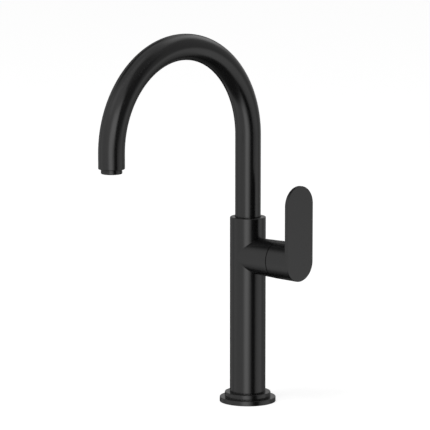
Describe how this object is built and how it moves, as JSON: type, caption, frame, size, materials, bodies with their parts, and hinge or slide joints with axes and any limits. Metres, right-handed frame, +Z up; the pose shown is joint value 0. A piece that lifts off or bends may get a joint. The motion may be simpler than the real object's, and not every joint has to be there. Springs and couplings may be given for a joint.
{
  "type": "tall basin faucet",
  "caption": "Tall single-lever basin faucet in matte black: slim column on a stepped round base, flat side lever, round gooseneck spout that swivels.",
  "frame": {"origin": "centre of the base's underside, on the deck's top face", "axes": "+Z up along the column, the spout points along -Y towards the user at rest, and the lever is on the +X side with its axis along X"},
  "size_m": [0.0962, 0.2248, 0.4234],
  "materials": {
    "matte_black": "matte black coating on brass",
    "bare_brass": "machined brass",
    "bare_steel": "stainless steel",
    "black_rubber": "matte rubber",
    "white_plastic": "moulded acetal",
    "white_ceramic": "lapped alumina"
  },
  "bodies": {
    "column": {"column_body": "matte_black", "base_flange": "matte_black", "deck_gasket": "black_rubber", "flange_o_ring": "black_rubber", "threaded_shank": "bare_brass", "clamp_gasket": "black_rubber", "clamp_washer": "bare_steel", "clamp_nut": "bare_brass", "spout_stop_screw": "bare_steel", "cartridge_base": "white_plastic", "port_seals": "black_rubber", "disc_seals": "black_rubber", "fixed_disc": "white_ceramic", "cartridge_sleeve": "bare_brass", "cartridge_nut": "bare_brass"},
    "spout": {"spout_tube": "matte_black", "spout_insert": "bare_brass", "upper_slide_ring": "white_plastic", "lower_slide_ring": "white_plastic", "spout_o_rings": "black_rubber", "outlet_bush": "bare_brass", "aerator_housing": "matte_black", "aerator_washer": "black_rubber", "aerator_insert": "white_plastic", "aerator_screen": "bare_steel"},
    "lever": {"moving_disc": "white_ceramic", "disc_driver": "white_plastic", "cartridge_spindle": "bare_brass", "spindle_o_ring": "black_rubber", "lever_handle": "matte_black", "spindle_adapter": "white_plastic", "lever_grub_screw": "bare_steel", "grub_screw_plug": "matte_black"}
  },
  "joints": [
    {"name": "spout_swivel", "type": "hinge", "parent": "column", "child": "spout", "pos_m": [0, 0, 0.17], "axis": [0, 0, 1], "range_deg": [-60, 60]},
    {"name": "lever_turn", "type": "hinge", "parent": "column", "child": "lever", "pos_m": [0.04, 0, 0.1457], "axis": [1, 0, 0], "range_deg": [0, 90]}
  ]
}
